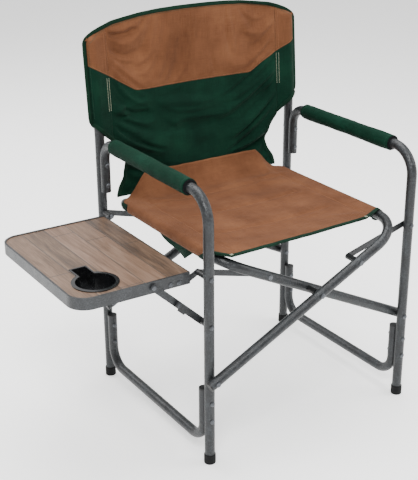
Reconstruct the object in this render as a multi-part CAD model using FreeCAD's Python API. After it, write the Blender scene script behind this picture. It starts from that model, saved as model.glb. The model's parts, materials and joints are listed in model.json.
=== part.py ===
"""Folding camp chair with a drop-down side table.

Units are millimetres. The chair faces -Y, the table hangs on the -X side and +Z is up.
The origin is the point on the floor midway between the four feet.
Each side frame is one bent arm tube, a straight rear post and a U-shaped runner. Two crossed
U-shaped rail frames carry the seat and fold like scissors between the side frames.
"""
import FreeCAD, Part
import math
import os

V = FreeCAD.Vector

# ---- tubes ----
TUBE_R = 11.0
WALL = 1.2
BORE_R = TUBE_R - WALL

# ---- gaps ----
RUNNING_GAP = 0.05
FACE_GAP = 0.3
TUBE_GAP = 0.2
RAIL_GAP = 1.5
PAST = 1.0

# ---- side frames ----
SIDE_X = 264.0
LEG_Y = 227.0
LEG_IN = LEG_Y - TUBE_R
LEG_OUT = LEG_Y + TUBE_R
ARM_Z = 603.0
ARM_FRONT_BEND = 60.0
ARM_REAR_BEND = 42.0
DROP_Y = LEG_Y - 2 * TUBE_R - TUBE_GAP
DROP_END_Z = 485.0
POST_BEND_Z = 613.0
POST_BEND = 150.0
POST_TOP_Z = 822.0
LEAN = math.radians(4.6)
RUNNER_Z = 43.0
RUNNER_BEND = 46.0
RUNNER_END_Z = 170.0

# ---- feet, plugs and caps: thickness of the visible cap, then length of the stem ----
FOOT_R = 12.8
FOOT_H = 22.0
FOOT_SOLE = 3.0
FOOT_EDGE = 1.6
RUNNER_PLUG = (3.0, 12.0)
POST_CAP = (3.0, 14.0)
RAIL_PLUG = (2.5, 8.0)
DROP_PLUG_H = 10.0

# ---- heights of the bolts on the legs ----
RUNNER_BOLT_ZS = (105.0, 148.0)
SCISSOR_Z = 206.0
STRUT_Z = 325.8
HINGE_Z = 431.0
ARM_RIVET_ZS = (502.0, 549.0)

# ---- scissor: two equal rail frames, set side by side in Y ----
CROSS_Z = 337.0
RAIL_REACH = 246.9
RAIL_BEND = 75.0
END_PAST_PIVOT = 14.0
OUTER_Y = LEG_Y + 2 * TUBE_R + RAIL_GAP
INNER_Y = LEG_Y - 2 * TUBE_R - RAIL_GAP
SLOPE = math.atan2(CROSS_Z - SCISSOR_Z, SIDE_X)
RAIL_X = RAIL_REACH * math.cos(SLOPE)
RAIL_Z = CROSS_Z + RAIL_REACH * math.sin(SLOPE)

# ---- links between the side frames and the rail frames ----
# One link of each side meets its rail frame's outer tube, and lies against the leg.
# The other meets the inner tube, and lies behind it.
LINK_REACH = 115.23
LINK_X = LINK_REACH * math.cos(SLOPE)
LINK_Z = CROSS_Z + LINK_REACH * math.sin(SLOPE)
LINK_HALF_W = 6.5
LINK_T = 2.5
OUTER_LINK_FACE = LEG_IN - 0.4
INNER_LINK_FACE = INNER_Y - TUBE_R - 1.8
OUTER_LINK_Y = (OUTER_LINK_FACE - LINK_T, OUTER_LINK_FACE)
INNER_LINK_Y = (INNER_LINK_FACE - LINK_T, INNER_LINK_FACE)

# ---- fasteners ----
BOLT_R = 3.0
HEAD_R = 5.6
HEAD_H = 2.4
LOW_HEAD_H = 1.6
HEAD_STRAIGHT = 0.45
HEAD_CROWN = 0.62
SPACER_R = 6.5
CROSS_SPACER_R = 7.5

# ---- arm pads ----
PAD_FRONT_Y = -160.0
PAD_REAR_Y = 156.0
FOAM_R = 15.6
PAD_R = 17.0
FOAM_SHOWS = 1.0

# ---- side table ----
TABLE_IN_X = -284.0
TABLE_OUT_X = -537.0
TABLE_HALF_Y = 188.5
TABLE_TOP_Z = 436.0
TABLE_CORNER = 40.0
RIM_H = 25.0
RIM_WALL = 1.8
RIM_LIP_T = 1.5
RIM_TOP_LIP = 4.5
RIM_LOW_LIP = 10.0
RIM_LOW_Z = TABLE_TOP_Z - RIM_H
BOARD_TOP_Z = TABLE_TOP_Z - RIM_LIP_T
BOARD_T = 9.0
TRIM_T = 2.5
TRIM_H = 12.0

# ---- hinge tongues: flat bars from the legs to the inside of the rim ----
TONGUE_T = 2.5
TONGUE_HALF_W = 6.2
TONGUE_OUT_Y = TABLE_HALF_Y - RIM_WALL
TONGUE_IN_Y = TONGUE_OUT_Y - TONGUE_T
TONGUE_RIVET_XS = (-310.0, -329.0)
TONGUE_RIVET_Z = 419.0
TONGUE_KINK_X = TABLE_IN_X - 4.0
TONGUE_END_X = TONGUE_RIVET_XS[-1] - 6.0
TONGUE_NOTCH = 6.0

# ---- folding struts under the table ----
STRUT_TOP = (-369.0, 424.0)
STRUT_HALF_W = 7.5
STRUT_T = 2.5
UPPER_STRUT_Y = (190.5, 190.5 + STRUT_T)
LOWER_STRUT_Y = (197.2, 197.2 + STRUT_T)
STRUT_HEAD_POCKET = 4.0
KNUCKLE_R = 5.5
STOP_TAB_LENGTH = 20.0
STOP_TAB_H = 3.5
STOP_TAB_FROM_KNEE = 14.0

# ---- cup holder ----
CUP_X = -463.0
CUP_Y = -125.0
CUP_R = 40.0
CUP_RING_R = 48.0
CUP_WALL = 2.0
CUP_DEPTH = 32.0
CUP_RING_T = 2.0
SLOT_HALF_W = 16.0
SLOT_END_Y = -48.0
SLOT_FRAME = 3.5

# ---- fabric ----
CLOTH_T = 2.0
SHEET_T = 1.7
SLEEVE_BORE_R = TUBE_R + FACE_GAP
SLEEVE_R = SLEEVE_BORE_R + CLOTH_T
MIDDLE_GAP = 0.2
SEAT_FRONT_Y = -212.0
SEAT_REAR_Y = 217.7
SEAT_RAIL_FRONT_Y = -172.0
SEAT_RAIL_REAR_Y = 170.0
SEAT_CORNER_X = 182.0
SEAT_EDGE_X = RAIL_X + 3.0
RISER_LOW_X = 205.0
RISER_TOP_X = 155.0
RISER_TOP_Z = 506.0
SLEEVE_OUTER_END_Y = OUTER_Y - RAIL_BEND - 3.0
SLEEVE_INNER_END_Y = INNER_Y - RAIL_BEND - 1.0
BACK_CROWN_Z = 876.0
BACK_ARC_MID = (110.0, 870.6)
BACK_ARC_END = (212.0, 856.0)
BACK_CORNER = ((245.0, 850.0), (266.0, 840.0), (284.0, 827.0), (287.0, 805.0))
BACK_SIDE_LOW = ((287.0, 650.0), (274.0, 631.0))
BACK_NOTCH = ((226.0, 588.0), (203.0, 556.0), (198.0, 520.0), (205.0, 480.0), (212.0, 466.0))
BACK_SLEEVE_LOW_Z = 642.0
POCKET_OVER_CAP = 4.0

nodes = {}


def add(name, *solids):
    """Collect the solids of one node."""
    nodes.setdefault(name, []).extend(solids)


def cylinder_y(x, z, y_a, y_b, radius):
    """A cylinder along Y between two y values."""
    low = min(y_a, y_b)
    return Part.makeCylinder(radius, abs(y_b - y_a), V(x, low, z), V(0, 1, 0))


def ring_y(x, z, y_a, y_b, outer, inner):
    """A spacer, washer or sleeve along Y."""
    return cylinder_y(x, z, y_a, y_b, outer).cut(cylinder_y(x, z, y_a, y_b, inner))


def box_y(x, y_a, y_b, z, width, height):
    """A box between two y values, which may come in either order."""
    return Part.makeBox(width, abs(y_b - y_a), height, V(x, min(y_a, y_b), z))


def head_y(x, z, y_seat, direction, height=HEAD_H):
    """A low domed fastener head that stands off its seat face along +Y or -Y."""
    straight = HEAD_STRAIGHT * height
    axis = V(0, direction, 0)
    base = Part.makeCylinder(HEAD_R, straight, V(x, y_seat, z), axis)
    crown_at = V(x, y_seat + direction * straight, z)
    return base.fuse(Part.makeCone(HEAD_R, HEAD_CROWN * HEAD_R, height - straight, crown_at, axis))


def bolt_y(x, z, y_in, y_out, head_in=HEAD_H, head_out=HEAD_H):
    """A bolt along Y, whose heads seat at |y| = y_in and y_out on the side that y_in's sign gives."""
    side = 1 if y_in > 0 else -1
    shank = cylinder_y(x, z, y_in, y_out, BOLT_R)
    inner = head_y(x, z, y_in, -side, head_in)
    outer = head_y(x, z, y_out, side, head_out)
    return shank.fuse([inner, outer]).removeSplitter()


def bent_wire(points, radius):
    """Straight runs joined by tangent arcs of one radius."""
    edges = []
    start = points[0]
    for before, corner, after in zip(points, points[1:], points[2:]):
        into = (corner - before).normalize()
        out = (after - corner).normalize()
        half_turn = into.getAngle(out) / 2
        trim = radius * math.tan(half_turn)
        first = corner - into * trim
        last = corner + out * trim
        to_centre = (out - into).normalize()
        centre = corner + to_centre * (radius / math.cos(half_turn))
        middle = centre - to_centre * radius
        edges.append(Part.LineSegment(start, first).toShape())
        edges.append(Part.Arc(first, middle, last).toShape())
        start = last
    edges.append(Part.LineSegment(start, points[-1]).toShape())
    return Part.Wire(edges)


def bent_rod(wire, start, direction, radius):
    """A solid round rod that follows a bent wire."""
    profile = Part.Wire([Part.makeCircle(radius, start, direction)])
    return wire.makePipeShell([profile], True, True)


def bent_tube(points, bend):
    """A hollow round tube that follows straight runs and equal bends."""
    wire = bent_wire(points, bend)
    direction = (points[1] - points[0]).normalize()
    outside = bent_rod(wire, points[0], direction, TUBE_R)
    return outside.cut(bent_rod(wire, points[0], direction, BORE_R))


def tube_plug(end, outward, sizes):
    """A moulded plug in a tube's end: a cap as wide as the tube and a stem in its bore."""
    cap_t, stem = sizes
    cap = Part.makeCylinder(TUBE_R, cap_t, end, outward)
    return cap.fuse(Part.makeCylinder(BORE_R, stem, end, outward * -1)).removeSplitter()


def drill_y(solid, x, z, y_a, y_b, radius=BOLT_R):
    """A hole along Y."""
    return solid.cut(cylinder_y(x, z, y_a, y_b, radius))


def flat_bar(points, y_a, y_b, half_width):
    """A flat bar in an XZ plane with round ends, and a running hole at its first point."""
    bar = None
    for (xa, za), (xb, zb) in zip(points, points[1:]):
        box = Part.makeBox(math.hypot(xb - xa, zb - za), abs(y_b - y_a), 2 * half_width,
                           V(0, 0, -half_width))
        box.rotate(V(0, 0, 0), V(0, -1, 0), math.degrees(math.atan2(zb - za, xb - xa)))
        box.translate(V(xa, min(y_a, y_b), za))
        ends = [cylinder_y(x, z, y_a, y_b, half_width) for x, z in ((xa, za), (xb, zb))]
        piece = box.fuse(ends)
        bar = piece if bar is None else bar.fuse(piece)
    return drill_y(bar.removeSplitter(), points[0][0], points[0][1], y_a, y_b, BOLT_R + RUNNING_GAP)


def post_y(z):
    """The y of a rear post's axis at a height: upright below its bend and leaning back above it."""
    return LEG_Y + max(0.0, z - POST_BEND_Z) * math.tan(LEAN)


def on_post(x, z):
    """The point at x in the plane of the rear posts' axes at a height."""
    return V(x, post_y(z), z)


def side_frame(name, side):
    """Arm tube, rear post, runner, feet, pad and their fasteners for one side of the chair."""
    x = side * SIDE_X

    arm_front = bent_tube([V(x, -LEG_Y, FOOT_SOLE), V(x, -LEG_Y, ARM_Z), V(x, 0, ARM_Z)], ARM_FRONT_BEND)
    arm_rear = bent_tube([V(x, 0, ARM_Z), V(x, DROP_Y, ARM_Z), V(x, DROP_Y, DROP_END_Z)], ARM_REAR_BEND)
    arm = arm_front.fuse(arm_rear).removeSplitter()
    post = bent_tube([on_post(x, FOOT_SOLE), on_post(x, POST_BEND_Z), on_post(x, POST_TOP_Z)], POST_BEND)
    runner = bent_tube([V(x, -DROP_Y, RUNNER_END_Z), V(x, -DROP_Y, RUNNER_Z),
                        V(x, DROP_Y, RUNNER_Z), V(x, DROP_Y, RUNNER_END_Z)], RUNNER_BEND)

    leg_bolt_zs = RUNNER_BOLT_ZS + (SCISSOR_Z, HINGE_Z)
    if side < 0:
        leg_bolt_zs += (STRUT_Z,)
    for z in leg_bolt_zs:
        arm = drill_y(arm, x, z, -LEG_OUT - PAST, -LEG_IN + PAST)
        post = drill_y(post, x, z, LEG_IN - PAST, LEG_OUT + PAST)
    for z in ARM_RIVET_ZS:
        arm = drill_y(arm, x, z, DROP_Y - 2 * TUBE_R, LEG_Y)
        post = drill_y(post, x, z, LEG_IN - PAST, LEG_OUT + PAST)
        add(name + "_arm_rivets", bolt_y(x, z, DROP_Y - TUBE_R, LEG_OUT))
    for z in RUNNER_BOLT_ZS:
        runner = drill_y(runner, x, z, -LEG_Y, LEG_Y)
        for end in (-1, 1):
            add(name + "_runner_bolts", bolt_y(x, z, end * (DROP_Y - TUBE_R), end * LEG_OUT))
    add(name + "_arm_tube", arm)
    add(name + "_back_post", post)
    add(name + "_runner", runner)

    for end in (-1, 1):
        add(name + "_runner_plugs", tube_plug(V(x, end * DROP_Y, RUNNER_END_Z), V(0, 0, 1), RUNNER_PLUG))
        foot = Part.makeCylinder(FOOT_R, FOOT_H, V(x, end * LEG_Y, 0))
        foot = foot.makeFillet(FOOT_EDGE, [edge for edge in foot.Edges if edge.BoundBox.ZLength < PAST])
        foot = foot.cut(Part.makeCylinder(TUBE_R, FOOT_H, V(x, end * LEG_Y, FOOT_SOLE)))
        add(name + "_feet", foot)
    drop_plug = Part.makeCylinder(BORE_R, DROP_PLUG_H, V(x, DROP_Y, DROP_END_Z))
    post_cap = tube_plug(on_post(x, POST_TOP_Z), V(0, math.sin(LEAN), math.cos(LEAN)), POST_CAP)
    add(name + "_tube_caps", post_cap, drop_plug)
    add(name + "_arm_foam", ring_y(x, ARM_Z, PAD_FRONT_Y, PAD_REAR_Y, FOAM_R, TUBE_R))
    add(name + "_arm_cover",
        ring_y(x, ARM_Z, PAD_FRONT_Y + FOAM_SHOWS, PAD_REAR_Y - FOAM_SHOWS, PAD_R, FOAM_R))


def scissor_bolts(name, side):
    """The bolts that a side's legs carry the rail frames' lower ends on, and their washers.

    On each side, one rail tube crosses a leg on its outward face and the other on its inward face.
    """
    x = side * SIDE_X
    outer_end, inner_end = side, -side
    out_face = OUTER_Y + TUBE_R + FACE_GAP
    in_face = INNER_Y - TUBE_R - FACE_GAP
    add(name + "_pivot_bolts",
        bolt_y(x, SCISSOR_Z, outer_end * LEG_IN, outer_end * out_face),
        bolt_y(x, SCISSOR_Z, inner_end * in_face, inner_end * LEG_OUT, head_in=LOW_HEAD_H))
    for end, low, high in ((outer_end, LEG_OUT, OUTER_Y - TUBE_R), (inner_end, INNER_Y + TUBE_R, LEG_IN)):
        add(name + "_spacers",
            ring_y(x, SCISSOR_Z, end * (low + FACE_GAP), end * (high - FACE_GAP), HEAD_R, BOLT_R))


def link_bolts(name, side):
    """Bolts at hinge height: they carry the links, and on the left the table's tongues too."""
    x = side * SIDE_X
    for end in (-1, 1):
        link_low, link_high = OUTER_LINK_Y if end == side * -1 else INNER_LINK_Y
        inner_face = TONGUE_IN_Y - FACE_GAP if side < 0 else link_low - FACE_GAP
        add(name + "_link_bolts", bolt_y(x, HINGE_Z, end * inner_face, end * LEG_OUT))
        spaces = [(link_high + FACE_GAP, LEG_IN)]
        if side < 0:
            spaces.append((TONGUE_OUT_Y + FACE_GAP, link_low - FACE_GAP))
        for low, high in spaces:
            if high - low > PAST:
                add(name + "_spacers", ring_y(x, HINGE_Z, end * low, end * high, SPACER_R, BOLT_R))


def rail_frame(name, side, front_y, rear_y):
    """A U-shaped frame whose rail is on the given side and whose ends pivot on the other one."""
    down = V(-side * math.cos(SLOPE), 0, -math.sin(SLOPE))
    pivot = V(-side * SIDE_X, 0, SCISSOR_Z)
    foot = pivot + down * END_PAST_PIVOT
    rail = V(side * RAIL_X, 0, RAIL_Z)
    frame = bent_tube([foot + V(0, front_y, 0), rail + V(0, front_y, 0),
                       rail + V(0, rear_y, 0), foot + V(0, rear_y, 0)], RAIL_BEND)
    reach = 2 * TUBE_R
    turning = BOLT_R + RUNNING_GAP
    for y in (front_y, rear_y):
        frame = drill_y(frame, pivot.x, pivot.z, y - reach, y + reach, turning)
        frame = drill_y(frame, 0, CROSS_Z, y - reach, y + reach, BOLT_R if side > 0 else turning)
        frame = drill_y(frame, side * LINK_X, LINK_Z, y - reach, y + reach)
        plug = tube_plug(foot + V(0, y, 0), down, RAIL_PLUG)
        add(name + "_rail_plugs", drill_y(plug, pivot.x, pivot.z, y - reach, y + reach, turning))
    add(name + "_rail_frame", frame)


def rail_rivets(name, side):
    """Rivets that carry the link ends on one rail frame, with a sleeve beside each tube."""
    x, z = side * LINK_X, LINK_Z
    outer_end, inner_end = -side, side
    outer_link = OUTER_LINK_Y[1] + FACE_GAP
    outer_back = OUTER_Y + TUBE_R
    inner_link = INNER_LINK_Y[1] + FACE_GAP
    inner_back = INNER_Y + TUBE_R
    for end, link_face, back in ((outer_end, outer_link, outer_back), (inner_end, inner_link, inner_back)):
        shank = cylinder_y(x, z, end * link_face, end * back, BOLT_R)
        add(name + "_link_rivets", shank.fuse(head_y(x, z, end * back, end, LOW_HEAD_H)))
        tube_face = back - 2 * TUBE_R
        add(name + "_link_sleeves", ring_y(x, z, end * link_face, end * tube_face, SPACER_R, BOLT_R))


def cross_pivots():
    """The two bolts of the scissor cross and the long spacers between the rail frames."""
    for end in (-1, 1):
        add("cross_bolts", bolt_y(0, CROSS_Z, end * (INNER_Y - TUBE_R - FACE_GAP),
                                  end * (OUTER_Y + TUBE_R + FACE_GAP)))
        add("cross_spacers", ring_y(0, CROSS_Z, end * (INNER_Y + TUBE_R + FACE_GAP),
                                    end * (OUTER_Y - TUBE_R - FACE_GAP), CROSS_SPACER_R, BOLT_R))


def links(name, side):
    """The two flat links of one side, from the leg bolt to the rivet on that side's rail frame."""
    for end, where in ((-1, "front"), (1, "rear")):
        low, high = OUTER_LINK_Y if end == -side else INNER_LINK_Y
        ends = [(side * SIDE_X, HINGE_Z), (side * LINK_X, LINK_Z)]
        add(name + "_link_" + where, flat_bar(ends, end * low, end * high, LINK_HALF_W))
        add(name + "_link_heads", head_y(side * LINK_X, LINK_Z, end * low, -end, LOW_HEAD_H))


def table_outline(inset, z, height, inner_x=TABLE_IN_X):
    """A plate with rounded outer corners, open to the chair at its inner edge."""
    left, half = TABLE_OUT_X + inset, TABLE_HALF_Y - inset
    plate = Part.makeBox(inner_x - left, 2 * half, height, V(left, -half, z))
    corners = [edge for edge in plate.Edges
               if edge.BoundBox.ZLength > height / 2 and abs(edge.CenterOfMass.x - left) < PAST]
    return plate.makeFillet(TABLE_CORNER - inset, corners)


def table_rim():
    """A channel round three edges of the table, with a narrow lip above and a wide one below."""
    past_end = TABLE_IN_X + PAST
    lip_cut_h = RIM_LIP_T + 2 * PAST
    shell = table_outline(0, RIM_LOW_Z, RIM_H)
    well = table_outline(RIM_WALL, RIM_LOW_Z + RIM_LIP_T, RIM_H - 2 * RIM_LIP_T, past_end)
    top_cut = table_outline(RIM_TOP_LIP, BOARD_TOP_Z - PAST, lip_cut_h, past_end)
    low_cut = table_outline(RIM_LOW_LIP, RIM_LOW_Z - PAST, lip_cut_h, past_end)
    rim = shell.cut(well).cut(top_cut).cut(low_cut)
    for end in (-1, 1):
        for x in TONGUE_RIVET_XS:
            rim = drill_y(rim, x, TONGUE_RIVET_Z, end * TONGUE_OUT_Y, end * TABLE_HALF_Y)
        rim = drill_y(rim, STRUT_TOP[0], STRUT_TOP[1], end * TONGUE_OUT_Y, end * TABLE_HALF_Y)
    return rim


def cup_opening(extra, z, height):
    """The cup holder's keyhole outline, grown by a margin: a circle with a slot for a mug's handle."""
    slot = Part.makeBox(2 * (SLOT_HALF_W + extra), SLOT_END_Y + extra - CUP_Y, height,
                        V(CUP_X - SLOT_HALF_W - extra, CUP_Y, z))
    return Part.makeCylinder(CUP_R + extra, height, V(CUP_X, CUP_Y, z)).fuse(slot).removeSplitter()


def cup_holder():
    """A shallow moulded cup with a flange on the board."""
    low_z = BOARD_TOP_Z - CUP_DEPTH
    ring = Part.makeCylinder(CUP_RING_R, CUP_RING_T, V(CUP_X, CUP_Y, BOARD_TOP_Z))
    slot_frame = cup_opening(SLOT_FRAME, BOARD_TOP_Z, CUP_RING_T)
    body = cup_opening(CUP_WALL, low_z, CUP_DEPTH).fuse([ring, slot_frame])
    return body.cut(cup_opening(0, low_z + CUP_WALL, CUP_DEPTH + CUP_RING_T)).removeSplitter()


def side_table():
    """Board, channel rim, edge trim, hinge tongues, cup holder and their rivets."""
    board = table_outline(RIM_WALL, BOARD_TOP_Z - BOARD_T, BOARD_T)
    board = board.cut(cup_opening(CUP_WALL, BOARD_TOP_Z - RIM_H, 2 * RIM_H))
    trim = Part.makeBox(TRIM_T, 2 * TONGUE_OUT_Y, TRIM_H, V(TABLE_IN_X, -TONGUE_OUT_Y, BOARD_TOP_Z - TRIM_H))
    tongue_line = [(-SIDE_X, HINGE_Z), (TONGUE_KINK_X, TONGUE_RIVET_Z), (TONGUE_END_X, TONGUE_RIVET_Z)]
    notch_x, notch_width = TABLE_IN_X - TONGUE_NOTCH, TONGUE_NOTCH + PAST
    strut_x, strut_z = STRUT_TOP
    for end in (-1, 1):
        y_out, y_in = end * TONGUE_OUT_Y, end * TONGUE_IN_Y
        rim_face = end * TABLE_HALF_Y
        tongue = flat_bar(tongue_line, y_out, y_in, TONGUE_HALF_W)
        trim = trim.cut(box_y(TABLE_IN_X - PAST, y_in, y_out, RIM_LOW_Z, TRIM_T + 2 * PAST, RIM_H))
        board = board.cut(box_y(notch_x, y_in, y_out, RIM_LOW_Z, notch_width, RIM_H))
        pocket_in = end * (TONGUE_OUT_Y - STRUT_HEAD_POCKET)
        board = board.cut(cylinder_y(strut_x, strut_z, pocket_in, y_out, HEAD_R + FACE_GAP))
        for x in TONGUE_RIVET_XS:
            tongue = drill_y(tongue, x, TONGUE_RIVET_Z, y_out, y_in)
            add("table_rivets", bolt_y(x, TONGUE_RIVET_Z, y_in, rim_face, LOW_HEAD_H, LOW_HEAD_H))
        add("table_hinge_tongues", tongue)
        washer_end = end * (UPPER_STRUT_Y[0] - FACE_GAP)
        outer_seat = end * (UPPER_STRUT_Y[1] + TUBE_GAP)
        add("strut_top_bolts",
            ring_y(strut_x, strut_z, rim_face, washer_end, SPACER_R, BOLT_R),
            bolt_y(strut_x, strut_z, y_out, outer_seat, head_out=LOW_HEAD_H))
    add("table_rim", table_rim())
    add("table_board", board)
    add("table_edge_trim", trim)
    add("cup_holder", cup_holder())


def struts():
    """Two folding struts: an upper half on the table rim and a lower half on the leg."""
    foot = V(-SIDE_X, 0, STRUT_Z)
    top = V(STRUT_TOP[0], 0, STRUT_TOP[1])
    knee = (foot + top) * 0.5
    along = (top - foot).normalize()
    across = V(-along.z, 0, along.x)
    tilt = math.degrees(math.atan2(across.z, across.x)) - 90
    tab_at = knee - along * STOP_TAB_FROM_KNEE + across * STRUT_HALF_W
    knee_xz = (knee.x, knee.z)
    for end in (-1, 1):
        upper_in, upper_out = end * UPPER_STRUT_Y[0], end * UPPER_STRUT_Y[1]
        lower_in, lower_out = end * LOWER_STRUT_Y[0], end * LOWER_STRUT_Y[1]
        add("strut_uppers", flat_bar([STRUT_TOP, knee_xz], upper_in, upper_out, STRUT_HALF_W))
        add("strut_lowers", flat_bar([(foot.x, foot.z), knee_xz], lower_in, lower_out, STRUT_HALF_W))
        add("strut_knuckles", cylinder_y(knee.x, knee.z, upper_out, lower_in - end * FACE_GAP, KNUCKLE_R))
        add("strut_knuckle_heads", head_y(knee.x, knee.z, lower_out, end, LOW_HEAD_H))
        tab = Part.makeBox(STOP_TAB_LENGTH, STRUT_T, STOP_TAB_H, V(-STOP_TAB_LENGTH / 2, 0, 0))
        tab.rotate(V(0, 0, 0), V(0, -1, 0), tilt)
        tab.translate(tab_at + V(0, min(lower_in, lower_out), 0))
        add("strut_stop_tabs", tab)
        add("strut_leg_bolts", bolt_y(foot.x, foot.z, end * (LOWER_STRUT_Y[0] - TUBE_GAP), end * LEG_OUT,
                                      head_in=LOW_HEAD_H))
        add("left_spacers",
            ring_y(foot.x, foot.z, end * (LOWER_STRUT_Y[1] + FACE_GAP), end * LEG_IN, SPACER_R, BOLT_R))


def extruded_outline(points, along):
    """A flat closed outline given a thickness."""
    return Part.Face(Part.makePolygon(points + points[:1])).extrude(along)


def seat_half(side):
    """Half of the seat cloth: a sleeve round its rail, a flat sheet to the chair's middle and a riser
    behind it that meets the back cloth."""
    x_mid, x_corner, x_edge = side * MIDDLE_GAP, side * SEAT_CORNER_X, side * SEAT_EDGE_X
    front_end, rear_end = SLEEVE_OUTER_END_Y, SLEEVE_INNER_END_Y
    if side < 0:
        front_end, rear_end = rear_end, front_end
    sleeve = ring_y(side * RAIL_X, RAIL_Z, -front_end, rear_end, SLEEVE_R, SLEEVE_BORE_R)
    low_z = RAIL_Z + SLEEVE_BORE_R
    riser_low_x = side * RISER_LOW_X
    outline = [V(x_mid, SEAT_FRONT_Y, low_z), V(x_corner, SEAT_FRONT_Y, low_z),
               V(x_edge, SEAT_RAIL_FRONT_Y, low_z), V(x_edge, SEAT_RAIL_REAR_Y, low_z),
               V(riser_low_x, SEAT_REAR_Y, low_z), V(x_mid, SEAT_REAR_Y, low_z)]
    sheet = extruded_outline(outline, V(0, 0, SHEET_T))
    riser = [V(x_mid, SEAT_REAR_Y, low_z), V(riser_low_x, SEAT_REAR_Y, low_z),
             V(side * RISER_TOP_X, SEAT_REAR_Y, RISER_TOP_Z), V(x_mid, SEAT_REAR_Y, RISER_TOP_Z)]
    return sleeve.fuse([sheet, extruded_outline(riser, V(0, -SHEET_T, 0))]).removeSplitter()


def back_sheet(edges):
    """A closed outline in the posts' plane, given the cloth's thickness about that plane."""
    face = Part.Face(Part.Wire(edges))
    face.translate(V(0, -SHEET_T / 2, 0))
    return face.extrude(V(0, SHEET_T, 0))


def straight_edges(points):
    """Line edges from point to point."""
    return [Part.makeLine(a, b) for a, b in zip(points, points[1:])]


def back_half(side):
    """Half of the back cloth: a pocket round its post and a flat sheet to the chair's middle."""
    x_mid = side * MIDDLE_GAP
    crown = on_post(x_mid, BACK_CROWN_Z)
    arc_mid, arc_end = (on_post(side * x, z) for x, z in (BACK_ARC_MID, BACK_ARC_END))
    low_side = [on_post(side * x, z) for x, z in BACK_SIDE_LOW]
    fold_point = on_post(side * BACK_NOTCH[0][0], POST_BEND_Z)
    fold_mid = on_post(x_mid, POST_BEND_Z)
    upper = [arc_end] + [on_post(side * x, z) for x, z in BACK_CORNER]
    upper += low_side + [fold_point, fold_mid, crown]
    arc = Part.Arc(crown, arc_mid, arc_end).toShape()
    sheet = back_sheet([arc] + straight_edges(upper))
    lower = [fold_mid, fold_point] + [on_post(side * x, z) for x, z in BACK_NOTCH]
    lower += [on_post(x_mid, BACK_NOTCH[-1][1]), fold_mid]
    sheet = sheet.fuse(back_sheet(straight_edges(lower)))

    up = V(0, math.sin(LEAN), math.cos(LEAN))
    low = on_post(side * SIDE_X, BACK_SLEEVE_LOW_Z)
    height = (POST_TOP_Z + POST_CAP[0] - BACK_SLEEVE_LOW_Z) / math.cos(LEAN)
    sleeve = Part.makeCylinder(SLEEVE_R, height + POCKET_OVER_CAP, low, up)
    bend = on_post(side * SIDE_X, POST_BEND_Z)
    bore_height = (POST_TOP_Z + POST_CAP[0] + PAST - POST_BEND_Z) / math.cos(LEAN)
    bore = Part.makeCylinder(SLEEVE_BORE_R, bore_height, bend, up)
    return sleeve.fuse(sheet).cut(bore).removeSplitter()


rail_frame("right", 1, -OUTER_Y, INNER_Y)
rail_frame("left", -1, -INNER_Y, OUTER_Y)
for side_name, side_sign in (("left", -1), ("right", 1)):
    side_frame(side_name, side_sign)
    scissor_bolts(side_name, side_sign)
    link_bolts(side_name, side_sign)
    links(side_name, side_sign)
    rail_rivets(side_name, side_sign)
    add("seat_" + side_name, seat_half(side_sign))
    add("back_" + side_name, back_half(side_sign))
cross_pivots()
side_table()
struts()

os.makedirs("parts", exist_ok=True)
for name, solids in nodes.items():
    shape = solids[0] if len(solids) == 1 else Part.makeCompound(solids)
    assert shape.isValid(), name
    shape.exportStep("parts/" + name + ".step")
print(len(nodes), "nodes")
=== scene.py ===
import json
import math

import bmesh
import bpy
from mathutils import Matrix, Vector, noise
from mathutils.bvhtree import BVHTree

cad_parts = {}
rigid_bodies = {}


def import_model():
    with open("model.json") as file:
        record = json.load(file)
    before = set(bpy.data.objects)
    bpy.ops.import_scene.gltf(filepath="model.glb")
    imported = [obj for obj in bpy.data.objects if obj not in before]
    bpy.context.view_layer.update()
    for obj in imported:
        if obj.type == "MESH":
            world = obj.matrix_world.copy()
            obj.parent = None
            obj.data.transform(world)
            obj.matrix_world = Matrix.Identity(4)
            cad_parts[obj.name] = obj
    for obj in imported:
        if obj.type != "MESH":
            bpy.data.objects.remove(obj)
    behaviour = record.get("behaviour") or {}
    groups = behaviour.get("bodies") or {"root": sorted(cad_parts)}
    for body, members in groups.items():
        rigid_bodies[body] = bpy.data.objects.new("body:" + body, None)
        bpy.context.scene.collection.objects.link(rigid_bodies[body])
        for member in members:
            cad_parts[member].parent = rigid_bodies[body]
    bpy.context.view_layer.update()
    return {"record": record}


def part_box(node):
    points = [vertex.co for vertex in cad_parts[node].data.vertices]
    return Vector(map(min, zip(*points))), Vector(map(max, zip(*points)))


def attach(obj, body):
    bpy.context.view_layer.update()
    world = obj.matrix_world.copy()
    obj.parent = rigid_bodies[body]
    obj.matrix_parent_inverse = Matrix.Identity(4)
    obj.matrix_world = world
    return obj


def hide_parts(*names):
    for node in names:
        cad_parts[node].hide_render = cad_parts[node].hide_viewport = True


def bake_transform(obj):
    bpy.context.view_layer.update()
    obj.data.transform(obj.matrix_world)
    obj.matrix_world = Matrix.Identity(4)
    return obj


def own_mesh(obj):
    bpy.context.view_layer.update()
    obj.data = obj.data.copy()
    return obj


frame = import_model()

# ---- the frame's own measures, in metres; side -1 is the left, where x is negative ----
post_low, post_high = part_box("left_back_post")
rail_low, rail_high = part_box("left_rail_frame")
seat_low, seat_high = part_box("seat_left")[0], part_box("seat_right")[1]

CLOTH_ON_TUBE = 0.0023
TUBE_R = (post_high.x - post_low.x) / 2
POST_X = -(post_high.x + post_low.x) / 2
POST_Y = post_low.y + TUBE_R
RAIL_X = -rail_low.x - TUBE_R
RAIL_Z = rail_high.z - TUBE_R
SLEEVE_R = TUBE_R + CLOTH_ON_TUBE
BODY_OF_SIDE = {-1: "left_side", 1: "right_side"}
RAIL_OF_SIDE = {-1: "arm_2", 1: "arm_1"}
WORDS = {-1: "left", 1: "right"}


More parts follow.
